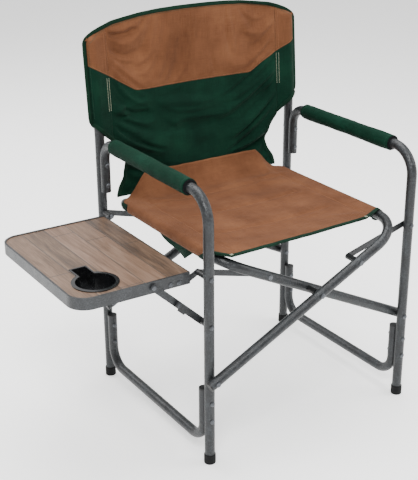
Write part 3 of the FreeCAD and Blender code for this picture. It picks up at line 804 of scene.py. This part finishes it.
# Lower edge of the flap that hangs under each rail, as (y, z).
FLAP_EDGE = ((-0.098, 0.43), (-0.066, 0.406), (-0.015, 0.415), (0.047, 0.4295), (0.058, 0.4325))
FLAP_STEPS, FLAP_DROPS = 40, 8
for side in (-1, 1):
    points, cloth = [], []
    for i in range(FLAP_STEPS + 1):
        y = FLAP_EDGE[0][0] + (FLAP_EDGE[-1][0] - FLAP_EDGE[0][0]) * i / FLAP_STEPS
        top, bottom = RAIL_Z - SLEEVE_R + 0.0006, table(y, FLAP_EDGE)
        for j in range(FLAP_DROPS + 1):
            drop = j / FLAP_DROPS
            wave = 0.0022 * drop * math.sin(y * 70 + 0.6)
            points.append(Vector((side * (RAIL_X - 0.002 + wave), y, top + (bottom - top) * drop)))
            cloth.append((y + 0.2, (top - bottom) * drop))
    flap_faces = grid_faces(FLAP_STEPS + 1, FLAP_DROPS + 1)
    flap = new_piece(f"rail_flap_{WORDS[side]}", points, flap_faces, cloth, [GREEN])
    thicken(flap, 0.0012)
    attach(flap, RAIL_OF_SIDE[side])

for piece in (seat, seat_binding, seat_stitches, seat_tacks):
    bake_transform(piece)


# ---- back: a middle panel between two pockets that take the posts ----
# The outlines are read as (x, z), and LOWER_HALF as (z, half width).
CROWN = (
    (0.0, 0.8748), (0.04, 0.8748), (0.097, 0.8728), (0.14, 0.8692),
    (0.182, 0.8635), (0.213, 0.859), (0.232, 0.853), (0.24, 0.8505),
    (0.26, 0.8425), (0.276, 0.833), (0.284, 0.823), (0.287, 0.805),
)
SIDE_EDGE = ((0.195, 0.556), (0.229, 0.5905), (0.251, 0.61), (0.274, 0.631), (0.283, 0.64), (0.287, 0.65))
LOWER_HALF = ((0.456, 0.226), (0.48, 0.219), (0.502, 0.203), (0.52, 0.199), (0.556, 0.2035), (0.59, 0.2305))
TAN_EDGE = ((0.0, 0.6998), (0.156, 0.6998), (0.287, 0.7735))
POCKET_X = 0.229
PANEL_X = POCKET_X + 0.0012
BACK_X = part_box("back_right")[1].x
BEND_Z = 0.613
LEAN = math.tan(math.radians(4.6))
PANEL_BASE_Z = 0.59
EDGE_TRIM = 0.0014  # keeps the cloth's top edge inside its binding
BACK_RIPPLES = ((0.0028, 9, 21, 4.7), (0.0011, 26, 46, 9.2))  # height, scales, layer of the noise
FOLD_GAIN = 1.35
BACK_FOLDS = (
    (-0.226, 0.838, -0.13, 0.846, 0.006, 0.006), (-0.226, 0.828, -0.15, 0.83, 0.006, -0.005),
    (-0.226, 0.792, -0.11, 0.776, 0.009, -0.0062), (-0.226, 0.778, -0.09, 0.762, 0.009, 0.005),
    (-0.18, 0.744, 0.000, 0.762, 0.014, 0.007), (-0.1, 0.722, 0.08, 0.738, 0.013, -0.0066),
    (-0.03, 0.818, 0.16, 0.802, 0.014, 0.006), (0.05, 0.776, 0.222, 0.756, 0.013, -0.0062),
    (0.13, 0.862, 0.226, 0.846, 0.006, -0.006), (0.14, 0.79, 0.226, 0.81, 0.009, 0.0056),
    (-0.228, 0.66, -0.12, 0.676, 0.01, 0.009), (-0.228, 0.642, -0.11, 0.652, 0.011, -0.008),
    (-0.13, 0.668, 0.08, 0.64, 0.02, 0.0105), (0.226, 0.7, 0.09, 0.636, 0.015, 0.012),
    (0.224, 0.664, 0.08, 0.592, 0.017, -0.0125), (0.21, 0.618, 0.1, 0.56, 0.014, 0.01),
    (0.204, 0.556, 0.09, 0.524, 0.014, 0.011), (0.2, 0.53, 0.08, 0.498, 0.013, -0.009),
    (-0.222, 0.612, -0.09, 0.56, 0.015, 0.012), (-0.215, 0.584, -0.11, 0.528, 0.014, -0.0105),
    (-0.204, 0.552, -0.12, 0.498, 0.013, 0.0095), (-0.199, 0.512, -0.09, 0.52, 0.013, -0.0075),
    (-0.07, 0.604, 0.08, 0.596, 0.024, -0.011),
)


def back_plane(z):
    """The posts' middle plane, which leans back above their bend."""
    return POST_Y + max(z - BEND_Z, 0.0) * LEAN


def back_offset(x, z):
    """How far the middle panel stands forward of the posts' plane."""
    inside = 1 - ramp(abs(x), 0.185, POCKET_X)
    top = 1 - 0.6 * ramp(z, 0.8, 0.872)
    low = ramp(z, 0.458, 0.52)
    hollow = 0.013 * (1 - (x / POCKET_X) ** 2) * top * low
    hollow += 0.008 * bell(x, 0.13) * bell(z - 0.565, 0.05)
    held = 1 - ramp(abs(x), 0.215, POCKET_X)
    value = -hollow + held * low * FOLD_GAIN * fold_height(x, z, BACK_FOLDS)
    value += 0.0007 * ramp(abs(x), 0.21, POCKET_X)
    for height, scale_x, scale_z, layer in BACK_RIPPLES:
        value += inside * height * noise.noise(Vector((x * scale_x, z * scale_z, layer)))
    return value


def middle_point(x, z):
    return Vector((x, back_plane(z) - back_offset(x, z), z))


def middle_mark(x, z, forward=0.0):
    """A point forward of the middle panel as it was cut, and the way it faces."""
    dx = middle_point(x + SLOPE_STEP, z) - middle_point(x - SLOPE_STEP, z)
    dz = middle_point(x, z + SLOPE_STEP) - middle_point(x, z - SLOPE_STEP)
    up = dx.cross(dz).normalized()
    return middle_point(x, z) + up * forward, up


PANEL_COLUMNS = 100
LOW_ROWS, MID_ROWS, TOP_ROWS = 34, 30, 40
SEAM_ROW = LOW_ROWS + MID_ROWS  # where the green meets the tan
PANEL_ROWS = SEAM_ROW + TOP_ROWS + 1
ROW_POINTS = PANEL_COLUMNS + 1
HELD_ROWS, HELD_COLUMNS = 3, 2
SETTLE_FRAMES, SETTLE_REACH, SETTLE_SPARE = 26, 0.012, 0.022


def panel_place(s, row):
    """(x, z) of the middle panel at s in -1..1 and a row of its three bands."""
    if row <= LOW_ROWS:
        z = LOWER_HALF[0][0] + (PANEL_BASE_Z - LOWER_HALF[0][0]) * row / LOW_ROWS
        return s * soft_table(z, LOWER_HALF, 0.006), z
    x = s * PANEL_X
    seam = soft_table(abs(x), TAN_EDGE)
    if row <= SEAM_ROW:
        return x, PANEL_BASE_Z + (seam - PANEL_BASE_Z) * (row - LOW_ROWS) / MID_ROWS
    top = soft_table(abs(x), CROWN) - EDGE_TRIM
    return x, seam + (top - seam) * (row - SEAM_ROW) / TOP_ROWS


points, cloth, slots = [], [], []
for row in range(PANEL_ROWS):
    for k in range(ROW_POINTS):
        x, z = panel_place(2 * k / PANEL_COLUMNS - 1, row)
        points.append(middle_point(x, z))
        cloth.append((x + WEAVE_START[1], z + WEAVE_START[2]))
for row in range(PANEL_ROWS - 1):
    slots += [0 if row >= SEAM_ROW else 1] * PANEL_COLUMNS
faces = grid_faces(PANEL_ROWS, ROW_POINTS)
back_panel = new_piece("back_panel", points, faces, cloth, [TAN, GREEN, GREEN, GREEN], slots)
held = [
    row * ROW_POINTS + k
    for row in range(PANEL_ROWS)
    for k in range(ROW_POINTS)
    if min(row, PANEL_ROWS - 1 - row) < HELD_ROWS or min(k, PANEL_COLUMNS - k) < HELD_COLUMNS
]
settle(back_panel, held, SETTLE_FRAMES, SETTLE_REACH, SETTLE_SPARE)
panel_points = [v.co.copy() for v in back_panel.data.vertices]
seam_row = panel_points[SEAM_ROW * ROW_POINTS : (SEAM_ROW + 1) * ROW_POINTS]
panel_tree = BVHTree.FromPolygons(panel_points, [tuple(f.vertices) for f in back_panel.data.polygons])
thicken(back_panel, 0.0018, lining=2)
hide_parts("back_left", "back_right")

THREAD_LIFT = 0.0003


def panel_mark(x, z):
    """A point just in front of the settled panel, and the way it faces."""
    place, facing, _, _ = panel_tree.ray_cast(Vector((x, -1.0, z)), Vector((0, 1, 0)))
    if place is None:
        return middle_mark(x, z, THREAD_LIFT)
    if facing.y > 0:
        facing = -facing
    return place + facing * THREAD_LIFT, facing


def panel_stitches(name, marks, material, *size):
    """One row of stitches along marks on the panel."""
    return stitches(name, [tuple(zip(*marks))], material, *size)


def tent(x, reach_in, reach_out):
    """Height of cloth pulled over the post, from the stitch line to the outer edge."""
    d = x - POST_X
    for reach, way in ((reach_in, -1), (reach_out, 1)):
        if d * way >= 0:
            touch = SLEEVE_R**2 / reach
            if abs(d) <= touch:
                return math.sqrt(SLEEVE_R**2 - d * d)
            high = math.sqrt(SLEEVE_R**2 - touch**2)
            return high * max(reach - abs(d), 0.0) / (reach - touch)
    return 0.0


POCKET_EDGE = BACK_X - 0.0005
POCKET_COLUMNS = 26
POCKET_LOW_ROWS, POCKET_TOP_ROWS = 26, 20
CORNER_TRIM, CORNER_TRIM_WIDTH = 0.002, 0.006
OVERLAP, OVERLAP_WIDTH = 0.001, 0.012  # the pocket's front layer lies on the panel's edge
STITCH_COLUMNS = (POCKET_X + 0.0005, POCKET_X + 0.0065)


def pocket_offset(x, z):
    """How far each layer of a pocket stands off the posts' plane."""
    closing = 1 - ramp(z, 0.826, soft_table(x, CROWN) - 0.004)
    high = tent(x, POST_X - POCKET_X, POCKET_EDGE - POST_X) * closing
    return high + 0.0012 * closing * noise.noise(Vector((x * 45, z * 24, 1.9)))


def pocket_point(side, face, x, z, forward=0.0):
    """A point forward of a pocket's layer; face is 1 for the front layer and -1 for the rear."""
    shift = (pocket_offset(x, z) + forward) * face
    if face > 0 and x - POCKET_X < OVERLAP_WIDTH:
        shift += OVERLAP * (1 - (x - POCKET_X) / OVERLAP_WIDTH)
    return Vector((side * x, back_plane(z) - shift, z))


def pocket_sheet(side, face):
    """Points, cloth places and material slots of one layer of a post pocket."""
    points, cloth, slots = [], [], []
    rows = POCKET_LOW_ROWS + POCKET_TOP_ROWS + 1
    for row in range(rows):
        for k in range(POCKET_COLUMNS + 1):
            x = POCKET_X + (POCKET_EDGE - POCKET_X) * k / POCKET_COLUMNS
            low, seam = soft_table(x, SIDE_EDGE, 0.004), soft_table(x, TAN_EDGE)
            top = soft_table(x, CROWN, 0.004) - EDGE_TRIM
            top -= CORNER_TRIM * ramp(x, BACK_X - CORNER_TRIM_WIDTH, BACK_X)
            if row <= POCKET_LOW_ROWS:
                z = low + (seam - low) * row / POCKET_LOW_ROWS
            else:
                z = seam + (top - seam) * (row - POCKET_LOW_ROWS) / POCKET_TOP_ROWS
            points.append(pocket_point(side, face, x, z))
            cloth.append((side * x + WEAVE_START[1], z + WEAVE_START[2]))
    for row in range(rows - 1):
        slots += [0 if row >= POCKET_LOW_ROWS and face > 0 else 1] * POCKET_COLUMNS
    faces = grid_faces(rows, POCKET_COLUMNS + 1)
    if side * face < 0:
        faces = [tuple(reversed(face_points)) for face_points in faces]
    return points, cloth, slots, faces


def pocket_marks(side, marks, face=1, forward=THREAD_LIFT):
    """Path and ups on a pocket from (x, z) marks."""
    path, ups = [], []
    for x, z in marks:
        path.append(pocket_point(side, face, x, z, forward))
        slope = (pocket_offset(min(x + 0.001, BACK_X), z) - pocket_offset(x - 0.001, z)) / 0.002
        ups.append(Vector((side * slope, -face, 0.0)).normalized())
    return path, ups


def stitch_columns(side, start, step, count, face=1):
    """The two rows of stitches beside a post."""
    return [pocket_marks(side, [(x, start + step * k) for k in range(count)], face) for x in STITCH_COLUMNS]


def outline_marks(stops, start, end, count, reach=0.004, inset=0.0):
    """(x, z) marks along one of the back's outlines."""
    places = [start + (end - start) * k / count for k in range(count + 1)]
    return [(x, soft_table(x, stops, reach) + inset) for x in places]


TAPE_SECTION = tape_profile(0.0046, 0.0024)
TAPE_INSET = 0.004
RIM_STEPS = 34
SEAM_STITCH_UP = 0.0022  # from the colour seam to its stitches
for side in (-1, 1):
    word = WORDS[side]
    front, rear = pocket_sheet(side, 1), pocket_sheet(side, -1)
    points, cloth, slots = (a + b for a, b in zip(front[:3], rear[:3]))
    faces = front[3] + [tuple(v + len(front[0]) for v in face) for face in rear[3]]
    pocket = new_piece(f"back_pocket_{word}", points, faces, cloth, [TAN, GREEN], slots, merge=0.0003)
    thicken(pocket, 0.0009)

    top = [(x, z - TAPE_INSET) for x, z in outline_marks(CROWN, POCKET_X, BACK_X - 0.0045, RIM_STEPS)]
    edge = [(BACK_X - 0.0042, 0.806 - MARK_STEP * k) for k in range(1, 40)]
    low = outline_marks(SIDE_EDGE, BACK_X - 0.0045, POCKET_X, RIM_STEPS)
    low = [(x - 0.001, z + 0.0035) for x, z in low]
    rim = [mark for mark in top + edge if mark[1] > 0.65] + low
    path, ups = [], []
    for x, z in rim:
        forward = pocket_offset(x, z) if z < 0.66 and x < BACK_X - 0.006 else 0.0
        path.append(Vector((side * x, back_plane(z) - forward - 0.0002, z)))
        ups.append(Vector((0.0, -1.0, 0.0)))
    binding = sweep(f"pocket_binding_{word}", path, ups, TAPE_SECTION, TAPE)
    low_path, low_ups = pocket_marks(side, low, -1, 0.0)
    rear_binding = sweep(f"pocket_rear_binding_{word}", low_path, low_ups, TAPE_SECTION, TAPE)

    lines = stitch_columns(side, 0.737, -MARK_STEP, 20)
    pale = stitches(f"pocket_stitches_{word}", lines, PALE_THREAD, 0.0006)
    lines = stitch_columns(side, 0.746, MARK_STEP, 24)
    seam_marks = outline_marks(TAN_EDGE, POCKET_X, BACK_X - 0.008, 14, 0.007, SEAM_STITCH_UP)
    lines.append(pocket_marks(side, seam_marks))
    toned = stitches(f"pocket_seams_{word}", lines, TAN_THREAD, 0.0005)
    lines = [pocket_marks(side, [(x - 0.0065, z - 0.0045) for x, z in top[6:]])]
    lines.append(pocket_marks(side, [(x - 0.0062, z) for x, z in edge]))
    lines += stitch_columns(side, 0.612, MARK_STEP, 58, -1)
    dark = stitches(f"pocket_edge_stitches_{word}", lines, GREEN_THREAD)
    extras = [binding, rear_binding, pale, toned, dark]
    for piece in [pocket, *extras]:
        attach(piece, BODY_OF_SIDE[side])

CROWN_STEPS = 60  # from the middle to each side
CROWN_STITCH_DROP, CROWN_STITCH_STEP = 0.0105, 0.0036
TAPE_BACK = Vector((0, 0.0009, 0))  # centres a tape on the panel's thickness
crown_path, crown_ups = [], []
for k in range(-CROWN_STEPS, CROWN_STEPS + 1):
    x = POCKET_X * k / CROWN_STEPS
    mark, up = middle_mark(x, soft_table(abs(x), CROWN) - TAPE_INSET)
    crown_path.append(mark + TAPE_BACK)
    crown_ups.append(up)
crown_binding = sweep("crown_binding", crown_path, crown_ups, TAPE_SECTION, TAPE)
panel_extras = [crown_binding]
for side in (-1, 1):
    path, ups = [], []
    for k in range(RIM_STEPS + 1):
        z = PANEL_BASE_Z + 0.002 - (PANEL_BASE_Z - 0.457) * k / RIM_STEPS
        x = side * (soft_table(z, LOWER_HALF, 0.006) - 0.0036)
        mark, up = middle_mark(x, z)
        path.append(mark + TAPE_BACK)
        ups.append(up)
    panel_extras.append(sweep(f"panel_binding_{WORDS[side]}", path, ups, TAPE_SECTION, TAPE))

marks = []
for near, far in zip(seam_row, seam_row[1:]):
    for place in (near, (near + far) / 2):
        marks.append(panel_mark(place.x, place.z + SEAM_STITCH_UP))
panel_extras.append(panel_stitches("panel_seam", marks, TAN_THREAD, 0.0005))
marks = []
for k in range(-62, 63):
    x = CROWN_STITCH_STEP * k
    marks.append(panel_mark(x, soft_table(abs(x), CROWN) - CROWN_STITCH_DROP))
panel_extras.append(panel_stitches("crown_stitches", marks, GREEN_THREAD))

# The panel, its tapes and its stitches go with the left side, each on its own mesh.
for piece in [back_panel, *panel_extras]:
    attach(piece, "left_side")
    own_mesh(piece)


# ---- arm pads ----
PAD_SIDES, PAD_ROWS = 56, 96
PAD_WALL = 0.0012
PAD_TUCK = 0.014  # how far the cloth is turned in at each end
PAD_STITCH_IN = 0.0085
PAD_SEAM_TURN = 1.5 * math.pi  # the long seam runs underneath


def pad_radius(side, low, high, y, turn):
    """Radius of an arm pad with its wrinkles, end stitching and long seam."""
    value = (high.z - low.z) / 2 + 0.0004
    value += 0.0011 * noise.noise(Vector((math.cos(turn) * 1.4, y * 16, math.sin(turn) * 1.4 + side)))
    value += 0.0006 * noise.noise(Vector((math.cos(turn) * 3.0, y * 70, math.sin(turn) * 3.0)))
    for from_end in (y - low.y, high.y - y):
        value -= 0.0007 * bell(from_end - PAD_STITCH_IN, 0.0022)
    value -= 0.0008 * bell(turn - PAD_SEAM_TURN, 0.1)
    return value


for side in (-1, 1):
    word = WORDS[side]
    low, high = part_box(f"{word}_arm_cover")
    centre = Vector(((low.x + high.x) / 2, 0, (low.z + high.z) / 2))
    radius = (high.z - low.z) / 2
    rings = [(low.y + PAD_TUCK, False), (low.y + 0.0006, False)]
    rings += [(low.y + (high.y - low.y) * k / PAD_ROWS, True) for k in range(PAD_ROWS + 1)]
    rings += [(high.y - 0.0006, False), (high.y - PAD_TUCK, False)]
    points, cloth = [], []
    for y, outer in rings:
        for n in range(PAD_SIDES):
            turn = 2 * math.pi * n / PAD_SIDES
            r = pad_radius(side, low, high, y, turn) if outer else radius - PAD_WALL
            if outer and min(y - low.y, high.y - y) < 0.0016:
                r -= 0.0005
            points.append(Vector((centre.x + r * math.cos(turn), y, centre.z + r * math.sin(turn))))
            cloth.append((turn * radius, y + WEAVE_START[1] + (0.0 if outer else 0.02)))
    faces = [tuple(reversed(f)) for f in grid_faces(len(rings), PAD_SIDES, wrap=True)]
    pad = new_piece(f"{word}_arm_pad", points, faces, cloth, [PAD_GREEN])
    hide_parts(f"{word}_arm_cover")
    lines = []
    for y in (low.y + PAD_STITCH_IN, high.y - PAD_STITCH_IN):
        path, ups = [], []
        for n in range(PAD_SIDES + 1):
            turn = 2 * math.pi * n / PAD_SIDES
            radial = Vector((math.cos(turn), 0, math.sin(turn)))
            out = pad_radius(side, low, high, y, turn) + 0.0002
            path.append(Vector((centre.x, y, centre.z)) + radial * out)
            ups.append(radial)
        lines.append((path, ups))
    seam = []
    for k in range(77):
        y = low.y + 0.003 + MARK_STEP * k
        under = pad_radius(side, low, high, y, PAD_SEAM_TURN) + 0.0002
        seam.append(Vector((centre.x, y, centre.z - under)))
    lines.append((seam, [Vector((0, 0, -1))] * len(seam)))
    pad_stitches = stitches(f"{word}_pad_stitches", lines, GREEN_THREAD)
    for piece in (pad, pad_stitches):
        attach(piece, BODY_OF_SIDE[side])


# ---- floor and light ----
FLOOR_HALF = 14.0
FLOOR_GLOW = 0.55
WORLD_STRENGTH = 0.8
WHITE = (1.0, 1.0, 1.0, 1.0)
floor_mesh = bpy.data.meshes.new("floor")
corners = [(FLOOR_HALF * x, FLOOR_HALF * y, 0) for x, y in ((-1, -1), (1, -1), (1, 1), (-1, 1))]
floor_mesh.from_pydata(corners, [], [(0, 1, 2, 3)])
floor = bpy.data.objects.new("floor", floor_mesh)
bpy.context.scene.collection.objects.link(floor)
paper = Finish("floor_paper", Emission_Color=WHITE, Emission_Strength=FLOOR_GLOW)
speck = paper.noise(scale=60.0, detail=3.0)
paper_colour = paper.tones(speck, (0.3, "fafaf9"), (0.7, "fdfdfc"))
floor_mesh.materials.append(paper.finish(paper_colour, paper.spread(speck, (0.3, 0.7), (0.8, 0.9))))

# Name, place, size in metres and power in watts.
LIGHTS = (
    ("key", (-1.5, -2.0, 2.7), 1.3, 120.0),
    ("fill", (2.4, -1.5, 1.9), 2.2, 50.0),
    ("top", (0.2, 0.5, 3.2), 2.6, 120.0),
    ("rear", (-0.9, 2.6, 2.2), 1.8, 60.0),
)
LIGHT_AIM = Vector((0, 0, 0.45))
for name, place, size, power in LIGHTS:
    lamp = bpy.data.lights.new(name, "AREA")
    lamp.shape, lamp.size, lamp.energy = "DISK", size, power
    light = bpy.data.objects.new(name, lamp)
    light.location = place
    light.rotation_euler = (LIGHT_AIM - Vector(place)).to_track_quat("-Z", "Y").to_euler()
    bpy.context.scene.collection.objects.link(light)
world = bpy.data.worlds.new("studio")
world.use_nodes = True
background = world.node_tree.nodes["Background"]
background.inputs["Color"].default_value = WHITE
background.inputs["Strength"].default_value = WORLD_STRENGTH
bpy.context.scene.world = world
